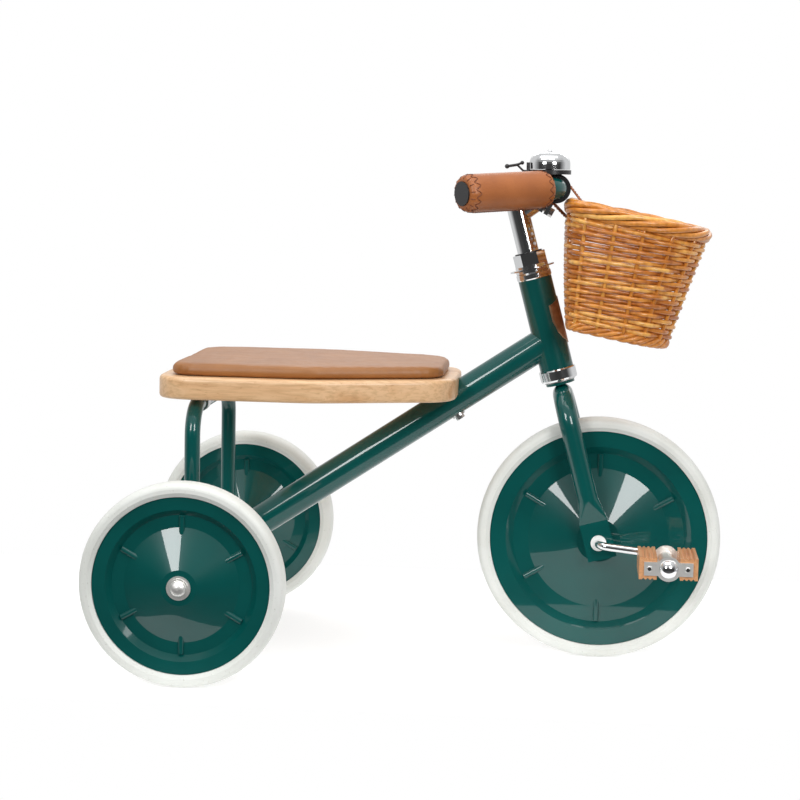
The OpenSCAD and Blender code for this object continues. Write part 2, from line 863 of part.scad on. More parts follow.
// ---------- Crank and pedals ----------

crank_bend = 12;
arm_y = 61;
spindle_end = 148.2;

// Right half of the crank, from the middle of the axle to the end of the spindle
module crank_half() {
  r = crank_d / 2;
  rotate([90, 0, 0]) cylinder(r = r, h = arm_y - crank_bend);
  translate([0, -(arm_y - crank_bend), 0]) rotate([90, 0, 0]) rotate([0, 0, -90])
    bend(crank_bend, 90, r);
  translate([crank_bend, -arm_y, 0]) rotate([0, 90, 0])
    cylinder(r = r, h = crank_l - 2 * crank_bend);
  translate([crank_l - crank_bend, -arm_y, 0]) rotate([0, 90, 0]) rotate([0, 0, 180])
    bend(crank_bend, 90, r);
  translate([crank_l, -(arm_y + crank_bend), 0]) rotate([90, 0, 0])
    cylinder(r = r, h = spindle_end - arm_y - crank_bend);
}

// One-piece bent rod: axle, two opposite arms and two pedal spindles
module crank() {
  color(CHROME) at_front_wheel() rotate([0, crank_drop, 0]) {
    crank_half();
    rotate([0, 0, 180]) crank_half();
  }
}

pedal_in = 74.5;
pedal_l = 72;
plate_t = 2;
block_w = 20;
block_h = 25;
pedal_span = 66;

// Places children at a pedal: local z runs outwards along the spindle
module at_pedal(side) {
  dx = crank_l * cos(crank_drop);
  dz = crank_l * sin(crank_drop);
  translate([front_x - side * dx, side * pedal_in, front_r + side * dz]) across(side) children();
}

// Wooden tread block with lengthwise grooves on top and underneath
module pedal_block() {
  groove = 1.3;
  difference() {
    translate([-block_w / 2, -block_h / 2, 0]) cube([block_w, block_h, pedal_l]);
    for (x = [-5, 0, 5], y = [-1, 1])
      translate([x, y * block_h / 2, -cut]) rotate([0, 0, 45])
        translate([-groove, -groove, 0]) cube([2 * groove, 2 * groove, pedal_l + 2 * cut]);
  }
}

module pedal_blocks(side) {
  color(WOOD) at_pedal(side) translate([0, 0, plate_t]) difference() {
    for (end = [-1, 1]) translate([end * (pedal_span - block_w) / 2, 0, 0]) pedal_block();
    for (end = [-1, 1], z = [-cut, pedal_l - 12])
      translate([end * 21.5, 0, z]) cylinder(r = 1.8, h = 12 + cut);
  }
}

// Two bow-tie end plates on the pedal's barrel
module pedal_frame(side) {
  half = 27.5;
  end_h = 15.6;
  hub_r = 14;
  color(CHROME) at_pedal(side) difference() {
    union() {
      for (z = [0, plate_t + pedal_l]) translate([0, 0, z]) {
        cylinder(r = hub_r, h = plate_t);
        translate([-half, -end_h / 2, 0]) cube([2 * half, end_h, plate_t]);
      }
      cylinder(r = 8, h = pedal_l + 2 * plate_t);
    }
    translate([0, 0, -cut]) cylinder(r = crank_d / 2 + run_gap, h = pedal_l + 10);
    for (end = [-1, 1]) translate([end * 21.5, 0, -cut]) cylinder(r = 1.8, h = pedal_l + 10);
  }
}

// Domed end cap and the four screws that hold the blocks
module pedal_hardware(side) {
  cap_r = 11.6;
  outer = 2 * plate_t + pedal_l;
  color(CHROME) at_pedal(side) {
    translate([0, 0, outer + 0.02]) intersection() {
      translate([0, 0, -4]) sphere(r = cap_r);
      cylinder(r = cap_r, h = cap_r);
    }
    for (end = [-1, 1]) {
      translate([end * 21.5, 0, outer - 12]) cylinder(r = 1.7, h = 12.5);
      translate([end * 21.5, 0, outer + 0.02]) cylinder(r1 = 3.4, r2 = 2.2, h = 1.8);
      translate([end * 21.5, 0, -0.5]) cylinder(r = 1.7, h = 12.5);
      translate([end * 21.5, 0, -1.82]) cylinder(r1 = 2.2, r2 = 3.4, h = 1.8);
    }
  }
}

// ---------- Nodes ----------

rear_axle_tube();
main_tube();
head_tube();
seat_hoop();
rear_axle();
rear_washers();
rear_dome_nuts();
seat_board();
seat_cushion();
seat_bolt();
seat_bolt_washer();
seat_clips();
seat_clip_screws();
head_badge();
headset_lower_cup();
headset_upper_cup();
fork_steerer();
fork_leg(-1);  // fork_leg_right
fork_leg(1);  // fork_leg_left
fork_bush(-1);  // fork_bush_right
fork_bush(1);  // fork_bush_left
crown_race();
lower_bearing();
upper_bearing();
adjusting_race();
lock_washer();
locknut();
locknut_seal();
quill_stem();
expander_wedge();
expander_bolt();
clamp_bolt();
handlebar();
grip(-1);  // grip_right
grip(1);  // grip_left
bar_end_caps();
bell_bracket();
bell_dome();
bell_screw();
bell_lever();
basket();
basket_strap(-1);  // basket_strap_right
basket_strap(1);  // basket_strap_left
front_tyre();
front_disc(-1);  // front_disc_right
front_disc(1);  // front_disc_left
front_hub();
crank();
pedal_blocks(-1);  // pedal_blocks_right
pedal_frame(-1);  // pedal_frame_right
pedal_hardware(-1);  // pedal_hardware_right
pedal_blocks(1);  // pedal_blocks_left
pedal_frame(1);  // pedal_frame_left
pedal_hardware(1);  // pedal_hardware_left
rear_tyre(-1);  // rear_tyre_right
rear_discs(-1);  // rear_discs_right
rear_hub(-1);  // rear_hub_right
rear_tyre(1);  // rear_tyre_left
rear_discs(1);  // rear_discs_left
rear_hub(1);  // rear_hub_left
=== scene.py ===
"""Children's tricycle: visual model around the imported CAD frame.

Metres, +X forwards, +Y left, +Z up.
"""
import json
import math
import random

import bmesh
import bpy
import numpy as np
from mathutils import Matrix, Vector


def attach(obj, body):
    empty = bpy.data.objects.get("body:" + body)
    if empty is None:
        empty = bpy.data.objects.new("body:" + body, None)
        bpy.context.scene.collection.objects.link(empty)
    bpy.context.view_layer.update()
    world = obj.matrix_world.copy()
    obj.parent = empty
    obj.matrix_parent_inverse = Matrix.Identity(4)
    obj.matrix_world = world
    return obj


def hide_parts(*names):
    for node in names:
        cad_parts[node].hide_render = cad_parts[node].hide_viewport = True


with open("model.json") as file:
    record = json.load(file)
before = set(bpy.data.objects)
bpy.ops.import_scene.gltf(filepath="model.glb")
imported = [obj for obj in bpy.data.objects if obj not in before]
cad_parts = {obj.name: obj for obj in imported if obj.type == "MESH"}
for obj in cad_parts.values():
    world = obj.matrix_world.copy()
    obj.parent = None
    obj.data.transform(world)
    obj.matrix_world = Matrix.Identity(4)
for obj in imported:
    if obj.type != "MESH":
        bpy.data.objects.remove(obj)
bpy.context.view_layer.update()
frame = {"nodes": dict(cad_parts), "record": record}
NODES = frame["nodes"]
MM = 0.001
rng = random.Random(7)


# ---------- Node materials ----------

class Surface:
    """A Principled material with short calls for the textures that drive it."""

    def __init__(self, name, **sockets):
        self.mat = bpy.data.materials.new(name)
        self.mat.use_nodes = True
        self.tree = self.mat.node_tree
        self.shader = self.tree.nodes["Principled BSDF"]
        for key, value in sockets.items():
            self.shader.inputs[key.replace("_", " ")].default_value = value

    def node(self, kind, **settings):
        made = self.tree.nodes.new(kind)
        for key, value in settings.items():
            if hasattr(made, key):
                setattr(made, key, value)
            else:
                made.inputs[key.replace("_", " ")].default_value = value
        return made

    def link(self, source, target):
        self.tree.links.new(source, target)

    def coords(self, stretch):
        """Object coordinates in metres, stretched by a factor along each axis."""
        place = self.node("ShaderNodeTexCoord")
        mapping = self.node("ShaderNodeMapping")
        mapping.inputs["Scale"].default_value = stretch
        self.link(place.outputs["Object"], mapping.inputs["Vector"])
        return mapping.outputs["Vector"]

    def noise(self, scale, stretch=(1, 1, 1), detail=4.0, distortion=0.0):
        made = self.node("ShaderNodeTexNoise", Scale=scale, Detail=detail, Distortion=distortion)
        self.link(self.coords(stretch), made.inputs["Vector"])
        return made.outputs["Fac"]

    def cells(self, scale, feature="F1"):
        made = self.node("ShaderNodeTexVoronoi", feature=feature, Scale=scale)
        self.link(self.coords((1, 1, 1)), made.inputs["Vector"])
        return made.outputs["Distance"]

    def ramp(self, fac, stops):
        made = self.node("ShaderNodeValToRGB")
        ramp = made.color_ramp
        while len(ramp.elements) < len(stops):
            ramp.elements.new(0.5)
        for element, (at, colour) in zip(ramp.elements, stops):
            element.position = at
            element.color = (*colour, 1)
        self.link(fac, made.inputs["Fac"])
        return made.outputs["Color"]

    def mix(self, fac, first, second, blend="MIX"):
        made = self.node("ShaderNodeMix", data_type="RGBA", blend_type=blend)
        sockets = (made.inputs[0], made.inputs[6], made.inputs[7])
        for socket, value in zip(sockets, (fac, first, second)):
            if isinstance(value, (int, float)):
                socket.default_value = value
            elif isinstance(value, tuple):
                socket.default_value = (*value, 1)
            else:
                self.link(value, socket)
        return made.outputs[2]

    def colour(self, output):
        self.link(output, self.shader.inputs["Base Color"])

    def rough(self, fac, low, high):
        made = self.node("ShaderNodeMapRange")
        made.inputs["To Min"].default_value = low
        made.inputs["To Max"].default_value = high
        self.link(fac, made.inputs["Value"])
        self.link(made.outputs["Result"], self.shader.inputs["Roughness"])

    def bump(self, fac, strength, depth):
        """Adds a bump on top of any bump that is already there."""
        made = self.node("ShaderNodeBump", Strength=strength, Distance=depth)
        self.link(fac, made.inputs["Height"])
        normal = self.shader.inputs["Normal"]
        if normal.is_linked:
            self.link(normal.links[0].from_socket, made.inputs["Normal"])
        self.link(made.outputs["Normal"], normal)


def srgb(r, g, b):
    """Linear colour from 0-255 values."""
    return tuple(((c / 255 + 0.055) / 1.055) ** 2.4 if c > 10 else c / 255 / 12.92
                 for c in (r, g, b))


def paint():
    s = Surface("green_paint", Specular_IOR_Level=0.15, Coat_Weight=0.9, Coat_Roughness=0.03)
    cloud = s.noise(9)
    s.colour(s.ramp(cloud, [(0.3, srgb(0, 70, 67)), (0.7, srgb(0, 81, 77))]))
    s.rough(s.noise(40), 0.26, 0.36)
    s.bump(s.noise(330, detail=2), 0.05, 0.0004)
    return s.mat


def rubber():
    s = Surface("white_rubber", Roughness=0.5)
    dust = s.noise(22, detail=8)
    base = s.ramp(dust, [(0.25, srgb(214, 216, 210)), (0.75, srgb(228, 230, 226))])
    specks = s.ramp(s.noise(420, detail=2), [(0.66, (1, 1, 1)), (0.78, srgb(214, 212, 204))])
    s.colour(s.mix(0.8, base, specks, "MULTIPLY"))
    s.rough(s.noise(60), 0.42, 0.6)
    s.bump(s.noise(700, detail=3), 0.15, 0.0003)
    return s.mat


def chrome(name="chrome", tint=(0.80, 0.81, 0.82), low=0.05, high=0.14):
    s = Surface(name, Metallic=1.0)
    s.colour(s.ramp(s.noise(30), [(0.3, tuple(c * 0.93 for c in tint)), (0.7, tint)]))
    s.rough(s.noise(120, (1, 1, 6), detail=6), low, high)
    s.bump(s.noise(900, (1, 1, 8), detail=3), 0.04, 0.0002)
    return s.mat


def zinc():
    s = Surface("zinc_steel", Metallic=1.0)
    s.colour(s.ramp(s.cells(260), [(0.0, (0.50, 0.51, 0.52)), (0.6, (0.66, 0.66, 0.65))]))
    s.rough(s.noise(200, detail=6), 0.22, 0.42)
    s.bump(s.noise(800, detail=3), 0.1, 0.0002)
    return s.mat


def wood(name, light, dark, stretch, fleck, coat):
    """Grain that runs along the axis with the smallest stretch."""
    s = Surface(name, Coat_Weight=coat, Coat_Roughness=0.18)
    bands = s.noise(7, stretch, detail=8, distortion=1.1)
    base = s.ramp(bands, [(0.3, dark), (0.5, light), (0.72, tuple(c * 0.9 for c in light))])
    fine = s.noise(38, tuple(v * 1.6 for v in stretch), detail=5)
    streak = s.ramp(fine, [(0.38, (0.80, 0.76, 0.70)), (0.55, (1, 1, 1))])
    pores = s.noise(70, tuple(v * 2.2 if v > 1 else v * 4 for v in stretch), detail=2)
    spots = s.ramp(pores, [(0.25, fleck), (0.36, (1, 1, 1))])
    s.colour(s.mix(1.0, s.mix(0.75, base, streak, "MULTIPLY"), spots, "MULTIPLY"))
    s.rough(fine, 0.34, 0.5)
    s.bump(pores, 0.12, 0.0004)
    s.bump(bands, 0.06, 0.0005)
    return s.mat


def leather(name, light, dark, grain=950, rough=(0.36, 0.5)):
    s = Surface(name, Specular_IOR_Level=0.55)
    patch = s.noise(26, detail=5)
    base = s.ramp(patch, [(0.3, dark), (0.7, light)])
    creases = s.ramp(s.cells(grain, "DISTANCE_TO_EDGE"),
                     [(0.0, (0.84, 0.80, 0.76)), (0.12, (1, 1, 1))])
    s.colour(s.mix(0.6, base, creases, "MULTIPLY"))
    s.rough(s.noise(90, detail=6), *rough)
    s.bump(s.cells(grain), 0.28, 0.00035)
    s.bump(s.noise(160, detail=6), 0.2, 0.0005)
    return s.mat


def wicker():
    """Varnished cane. The vertex attribute 'tone' makes each cane a little different."""
    s = Surface("wicker_cane", Coat_Weight=0.55, Coat_Roughness=0.12)
    tone = s.node("ShaderNodeAttribute", attribute_name="tone")
    base = s.ramp(tone.outputs["Fac"], [(0.0, srgb(142, 74, 20)), (0.35, srgb(194, 115, 34)),
                                        (0.7, srgb(226, 150, 58)), (1.0, srgb(244, 190, 100))])
    streaks = s.ramp(s.noise(180, detail=6), [(0.36, (0.66, 0.55, 0.44)), (0.56, (1, 1, 1))])
    s.colour(s.mix(0.7, base, streaks, "MULTIPLY"))
    s.rough(s.noise(120), 0.3, 0.5)
    s.bump(s.noise(600, detail=4), 0.35, 0.0005)
    return s.mat


def moulded(name, light, dark, low, high, scale):
    s = Surface(name)
    s.colour(s.ramp(s.noise(18), [(0.3, dark), (0.7, light)]))
    s.rough(s.noise(80), low, high)
    s.bump(s.noise(scale, detail=3), 0.12, 0.0002)
    return s.mat


def badge():
    s = Surface("copper_badge", Metallic=0.75)
    s.colour(s.ramp(s.noise(120, detail=6),
                    [(0.3, srgb(150, 112, 84)), (0.7, srgb(190, 150, 118))]))
    s.rough(s.noise(300), 0.3, 0.45)
    s.bump(s.cells(700), 0.3, 0.0003)
    return s.mat


M = {
    "dark_green_paint": paint(),
    "white_rubber": rubber(),
    "bright_chrome": chrome(),
    "zinc_steel": zinc(),
    "beech": wood("beech", srgb(226, 186, 142), srgb(208, 160, 112),
                  (0.55, 6, 6), (0.70, 0.56, 0.42), 0.25),
    "pedal_wood": wood("pedal_wood", srgb(214, 158, 112), srgb(190, 128, 84),
                       (6, 0.55, 6), (0.55, 0.4, 0.3), 0.3),
    "tan_leather": leather("cushion_leather", srgb(160, 106, 54), srgb(146, 94, 46)),
    "wicker": wicker(),
    "white_nylon": moulded("white_nylon", (0.86, 0.86, 0.84), (0.78, 0.78, 0.76), 0.35, 0.5, 500),
    "black_plastic": moulded("black_plastic", (0.022, 0.022, 0.024), (0.012, 0.012, 0.013),
                             0.22, 0.4, 700),
    "copper_badge": badge(),
}
SATIN_STEEL = chrome("satin_steel", (0.93, 0.92, 0.89), 0.4, 0.52)
GRIP_LEATHER = leather("grip_leather", srgb(176, 104, 52), srgb(154, 88, 42))
STRAP_LEATHER = leather("strap_leather", srgb(190, 116, 66), srgb(150, 82, 40), grain=700)
THREAD = leather("lacing_thread", srgb(128, 68, 36), srgb(96, 48, 24), grain=1600, rough=(0.5, 0.7))

SLOT = {entry["node"]: entry["material_slot"] for entry in frame["record"]["subparts"]}
SATIN_NODES = ("pedal_frame_right", "pedal_frame_left", "rear_dome_nuts", "rear_washers")
# Width of the rounded edges on CAD nodes, in millimetres
BEVELS = {"pedal_blocks_right": 1.0, "pedal_blocks_left": 1.0, "pedal_frame_right": 0.35,
          "pedal_frame_left": 0.35, "bar_end_caps": 0.6, "bell_bracket": 0.4, "locknut": 0.4,
          "fork_leg_right": 0.5, "fork_leg_left": 0.5, "quill_stem": 0.4, "seat_clips": 0.3}
for name, obj in NODES.items():
    obj.data.materials.clear()
    obj.data.materials.append(SATIN_STEEL if name in SATIN_NODES else M[SLOT[name]])
    obj.data.polygons.foreach_set("use_smooth", [True] * len(obj.data.polygons))
    obj.data.set_sharp_from_angle(angle=math.radians(32))
    if name in BEVELS:
        bevel = obj.modifiers.new("edges", "BEVEL")
        bevel.width = BEVELS[name] * MM
        bevel.segments = 2
        bevel.limit_method = "ANGLE"
        bevel.angle_limit = math.radians(40)
        bevel.use_clamp_overlap = True
        bevel.harden_normals = True


# ---------- Mesh helpers ----------

def add_mesh(name, verts, faces, material, tone=None):
    mesh = bpy.data.meshes.new(name)
    mesh.from_pydata([tuple(v) for v in verts], [], faces)
    mesh.validate()
    mesh.materials.append(material)
    mesh.polygons.foreach_set("use_smooth", [True] * len(mesh.polygons))
    if tone is not None:
        layer = mesh.attributes.new("tone", "FLOAT", "POINT")
        layer.data.foreach_set("value", [float(t) for t in tone])
    obj = bpy.data.objects.new(name, mesh)
    bpy.context.scene.collection.objects.link(obj)
    return obj


def unit(v):
    return v / np.maximum(np.linalg.norm(v, axis=-1, keepdims=True), 1e-12)


class Strands:
    """Collects swept canes and threads into one mesh."""

    def __init__(self):
        self.verts, self.faces, self.tone, self.count = [], [], [], 0

    def add(self, points, radius, ref, closed=False, sides=8, tone=0.5, flat=1.0):
        """Sweeps an ellipse along points (mm).

        `ref` lies across the path; the ellipse measures radius * flat along it.
        """
        p = np.asarray(points, float)
        n = len(p)
        tangent = (np.roll(p, -1, 0) - np.roll(p, 1, 0)) if closed else np.gradient(p, axis=0)
        tangent = unit(tangent)
        ref = np.broadcast_to(np.asarray(ref, float), p.shape)
        across = unit(ref - tangent * (ref * tangent).sum(1, keepdims=True))
        other = np.cross(tangent, across)
        radius = np.broadcast_to(np.asarray(radius, float), n)
        tone = np.broadcast_to(np.asarray(tone, float), n)
        angle = np.arange(sides) * 2 * math.pi / sides
        ring = (across[:, None, :] * (np.cos(angle) * flat)[None, :, None]
                + other[:, None, :] * np.sin(angle)[None, :, None])
        verts = p[:, None, :] + ring * radius[:, None, None]
        self.verts.append(verts.reshape(-1, 3))
        self.tone.append(np.repeat(tone, sides))
        base = self.count
        for i in range(n if closed else n - 1):
            j = (i + 1) % n
            for k in range(sides):
                m = (k + 1) % sides
                self.faces.append((base + i * sides + k, base + i * sides + m,
                                   base + j * sides + m, base + j * sides + k))
        if not closed:
            self.faces.append(tuple(base + k for k in reversed(range(sides))))
            self.faces.append(tuple(base + (n - 1) * sides + k for k in range(sides)))
        self.count += n * sides

    def build(self, name, material, place=None):
        verts = np.concatenate(self.verts) * MM
        if place is not None:
            verts = verts @ place[:3, :3].T + place[:3, 3]
        return add_mesh(name, verts, self.faces, material, np.concatenate(self.tone))


def rot(axis, degrees):
    return np.array(Matrix.Rotation(math.radians(degrees), 4, axis))


def shift(x, y, z):
    return np.array(Matrix.Translation((x, y, z)))


# ---------- Sizes shared with the CAD, in millimetres ----------

WHEELBASE, FRONT_R, REAR_R = 461.0, 145.0, 115.5
REAR_X = -(WHEELBASE + FRONT_R - REAR_R) / 2
FRONT_X = REAR_X + WHEELBASE
TILT = 15.3
BAR_R, BAR_RISE, BAR_REACH = 12.7, 416.0, 50.0
BAR_X = FRONT_X - BAR_RISE * math.sin(math.radians(TILT)) + BAR_REACH * math.cos(math.radians(TILT))
BAR_Z = FRONT_R + BAR_RISE * math.cos(math.radians(TILT)) + BAR_REACH * math.sin(math.radians(TILT))
BAR_HALF, BAR_BEND, BAR_DROP, SWEEP, GRIP_L = 60.0, 26.0, 4.0, 52.0, 118.0
BOARD_Z, BOARD_T = 311.0, 26.0
BOARD_REAR = REAR_X - 53
BOARD_L, BOARD_W, BOARD_FRONT_W = 343.0, 282.0, 200.0
MAIN_SLOPE, GROOVE_R = 33.8, 18.5


# ---------- Seat ----------

OUTLINE_POINTS = 220
# How far the pressure may move the cushion's skin outwards and down, in metres
MOST_SWELL, MOST_SINK = 0.0016, 0.0002
CLOTH_FRAMES = 12


def seat_outline(inset, count):
    """Even points round the seat's outline (mm), and the outward directions there."""
    circles = []
    for side in (-1, 1):
        circles += [(BOARD_REAR + 38, side * (BOARD_W / 2 - 40), 38 - inset),
                    (BOARD_REAR + 168, side * (BOARD_W / 2 - 90), 90 - inset),
                    (BOARD_REAR + BOARD_L - 46, side * (BOARD_FRONT_W / 2 - 46), 46 - inset)]
    cloud = sorted((x + r * math.cos(a), y + r * math.sin(a)) for x, y, r in circles
                   for a in np.arange(0, 2 * math.pi, math.pi / 180))

    def half(points):
        chain = []
        for q in points:
            while len(chain) > 1 and ((chain[-1][0] - chain[-2][0]) * (q[1] - chain[-2][1])
                                      - (chain[-1][1] - chain[-2][1]) * (q[0] - chain[-2][0])) <= 0:
                chain.pop()
            chain.append(q)
        return chain[:-1]

    hull = np.array(half(cloud) + half(cloud[::-1]))
    loop = np.vstack([hull, hull[:1]])
    along = np.concatenate([[0], np.cumsum(np.linalg.norm(np.diff(loop, axis=0), axis=1))])
    at = np.arange(count) * along[-1] / count
    points = np.stack([np.interp(at, along, loop[:, k]) for k in (0, 1)], 1)
    for _ in range(6):
        points = (np.roll(points, 1, 0) + 2 * points + np.roll(points, -1, 0)) / 4
    tangent = unit(np.roll(points, -1, 0) - np.roll(points, 1, 0))
    return points, np.stack([tangent[:, 1], -tangent[:, 0]], 1)


def slab(name, inset, low, high, r_low, r_high, crown, material):
    """Rounded slab: the outline swept through a profile with round edges and a crowned top."""
    count = OUTLINE_POINTS
    points, out = seat_outline(inset, count)
    middle = points.mean(0)
    rows = [(-1.0, 0.4, low), (-1.0, 0.8, low)]
    rows += [(r_low * (1 - math.sin(a)), None, low + r_low * (1 - math.cos(a)))
             for a in np.linspace(0, math.pi / 2, 6)]
    rows += [(r_high * (1 - math.cos(a)), None, high - r_high * (1 - math.sin(a)))
             for a in np.linspace(0, math.pi / 2, 7)]
    rings = []
    for inward, share, z in rows:
        ring = middle + (points - middle) * share if share else points - out * inward
        rings.append(np.column_stack([ring, np.full(count, z)]))
    edge = points - out * r_high
    for share in (0.97, 0.9, 0.75, 0.55, 0.3, 0.12):
        ring = middle + (edge - middle) * share
        rings.append(np.column_stack([ring, np.full(count, high + crown * (1 - share ** 3))]))
    verts = np.concatenate(rings)
    verts = np.vstack([verts, [*middle, low], [*middle, high + crown]])
    faces = []
    for i in range(len(rings) - 1):
        for k in range(count):
            m = (k + 1) % count
            faces.append((i * count + k, i * count + m, (i + 1) * count + m, (i + 1) * count + k))
    bottom, top = len(verts) - 2, len(verts) - 1
    last = (len(rings) - 1) * count
    for k in range(count):
        m = (k + 1) % count
        faces.append((m, k, bottom))
        faces.append((last + k, last + m, top))
    return add_mesh(name, verts * MM, faces, material)


def evaluated(obj):
    """A plain mesh of the object with its modifiers applied."""
    graph = bpy.context.evaluated_depsgraph_get()
    return bpy.data.meshes.new_from_object(obj.evaluated_get(graph), depsgraph=graph)


def replace_mesh(obj):
    mesh = evaluated(obj)
    obj.modifiers.clear()
    obj.data = mesh


def make_board():
    board = slab("seat_board_beech", 0, BOARD_Z, BOARD_Z + BOARD_T, 4, 5, 0, M["beech"])
    cutter_mesh = bpy.data.meshes.new("cutter")
    bm = bmesh.new()
    bmesh.ops.create_cone(bm, cap_ends=True, segments=96, depth=1.2,
                          radius1=GROOVE_R * MM, radius2=GROOVE_R * MM)
    bm.to_mesh(cutter_mesh)
    bm.free()
    cutter = bpy.data.objects.new("cutter", cutter_mesh)
    bpy.context.scene.collection.objects.link(cutter)
    slope = rot("Y", 90 - MAIN_SLOPE)
    cutter.matrix_world = Matrix((shift(REAR_X * MM, 0, REAR_R * MM) @ slope).tolist())
    groove = board.modifiers.new("groove", "BOOLEAN")
    groove.object = cutter
    groove.operation = "DIFFERENCE"
    bpy.context.view_layer.update()
    replace_mesh(board)
    bpy.data.objects.remove(cutter)
    board.data.set_sharp_from_angle(angle=math.radians(40))
    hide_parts("seat_board")
    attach(board, "frame")


def make_cushion():
    """Leather pad: a slab that is blown up a little by cloth pressure and kept flat underneath."""
    floor = BOARD_Z + BOARD_T + 0.15
    pad = slab("seat_cushion_leather", 12.8, floor, floor + 13.2, 3.5, 4.2, 1.2, M["tan_leather"])
    remesh = pad.modifiers.new("remesh", "REMESH")
    remesh.mode = "VOXEL"
    remesh.voxel_size = 0.005
    bpy.context.view_layer.update()
    replace_mesh(pad)
    start = np.array([v.co[:] for v in pad.data.vertices])
    cloth = pad.modifiers.new("cloth", "CLOTH")
    cloth.settings.use_pressure = True
    cloth.settings.uniform_pressure_force = 4
    cloth.settings.effector_weights.gravity = 0
    cloth.settings.tension_stiffness = 40
    cloth.settings.bending_stiffness = 2
    scene = bpy.context.scene
    for number in range(1, CLOTH_FRAMES + 1):
        scene.frame_set(number)
    mesh = evaluated(pad)
    moved = np.array([v.co[:] for v in mesh.vertices])
    pad.modifiers.clear()
    scene.frame_set(1)
    push = moved - start
    size = np.linalg.norm(push, axis=1, keepdims=True)
    push *= np.minimum(1, MOST_SWELL / np.maximum(size, 1e-9))
    push[:, 2] = np.maximum(push[:, 2], -MOST_SINK)
    start = start + push
    start[:, 2] = np.maximum(start[:, 2], floor * MM)
    pad.data.vertices.foreach_set("co", start.ravel())
    finer = pad.modifiers.new("finer", "SUBSURF")
    finer.levels = finer.render_levels = 1
    bpy.context.view_layer.update()
    replace_mesh(pad)
    pad.data.polygons.foreach_set("use_smooth", [True] * len(pad.data.polygons))
    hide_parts("seat_cushion")
    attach(pad, "frame")


make_board()
make_cushion()


# ---------- Grips ----------

def grip_place(side):
    """Frame at the start of a grip: z runs along the bar towards its end, in metres."""
    bend = math.radians(SWEEP)
    turn = (shift(0, BAR_BEND * (1 - math.cos(bend)) * MM, BAR_BEND * math.sin(bend) * MM)
            @ rot("X", -SWEEP))
    mirror = np.diag([1.0, side, 1.0, 1.0])
    return (shift(BAR_X * MM, 0, BAR_Z * MM) @ rot("Y", -BAR_DROP) @ mirror
            @ shift(0, BAR_HALF * MM, 0) @ rot("X", -90) @ rot("Z", 90) @ turn)


def down_angle(place):
    """Angle round the grip's own axis that faces the ground."""
    local = place[:3, :3].T @ np.array([0, 0, -1.0])
    return math.atan2(local[1], local[0])


PLEATS = 14
GRIP_R, GRIP_BORE_R = 21, 12.75
PUCKER_AT, PUCKER_WIDTH = 5.5, 5.0
SEAM_HALF, STITCH_GAP = 1.9, 6.0
GRIP_STEPS = [0.2, 0.5, 1.4, 2.8, 4.6, 7.0, 10.0, 14.0]
GRIP_SHAPE = [14.2, 16.2, 18.0, 19.4, 20.4, 21.0, 21.3, 21.4]


def grip_radius(z, angle, seam):
    """Radius of the leather at a place along and round the grip."""
    near = min(z, GRIP_L - z)
    r = float(np.interp(near, GRIP_STEPS, GRIP_SHAPE))
    pucker = math.exp(-((near - PUCKER_AT) / PUCKER_WIDTH) ** 2)
    r -= 0.55 * pucker * (0.5 + 0.5 * math.cos(PLEATS * (angle - seam)))
    off = (angle - seam + math.pi) % (2 * math.pi) - math.pi
    lip = math.exp(-(off * GRIP_R / SEAM_HALF) ** 2) * (1 - pucker)
    return r + lip * (0.75 + 0.45 * math.sin(2 * math.pi * z / STITCH_GAP))


